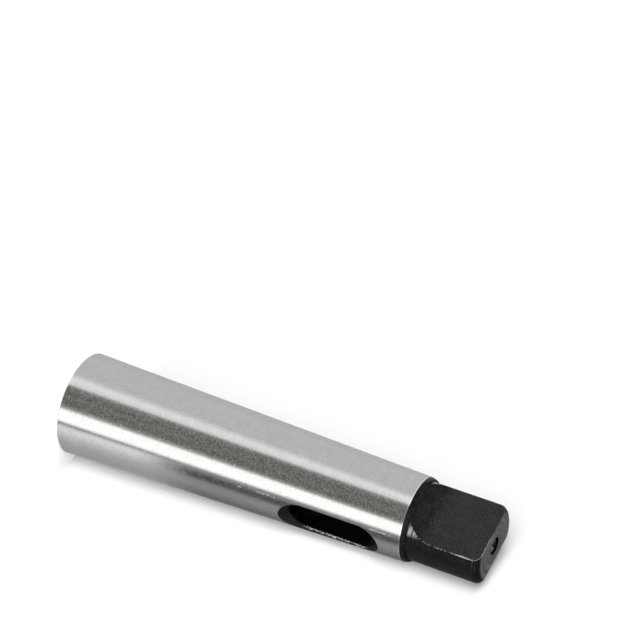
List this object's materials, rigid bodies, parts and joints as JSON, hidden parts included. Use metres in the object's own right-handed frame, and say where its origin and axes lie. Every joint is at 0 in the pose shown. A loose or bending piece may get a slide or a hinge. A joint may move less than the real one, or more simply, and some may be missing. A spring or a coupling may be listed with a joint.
{
  "type": "morse taper sleeve",
  "caption": "Reducing sleeve for taper shanks: ground outside taper, tang with milled flats, taper socket and cross slot for the ejecting drift.",
  "frame": {"origin": "centre of the open end's face, on the sleeve's axis", "axes": "+Z along the axis from the open end to the tang; drift slot through along X; the tang's flats face -Y and +Y"},
  "size_m": [0.0324, 0.0324, 0.14],
  "materials": {
    "ground_steel": "finely ground outside taper and socket; collar, tang and slot black oxide"
  },
  "bodies": {
    "root": {"taper_sleeve": "ground_steel"}
  },
  "joints": []
}
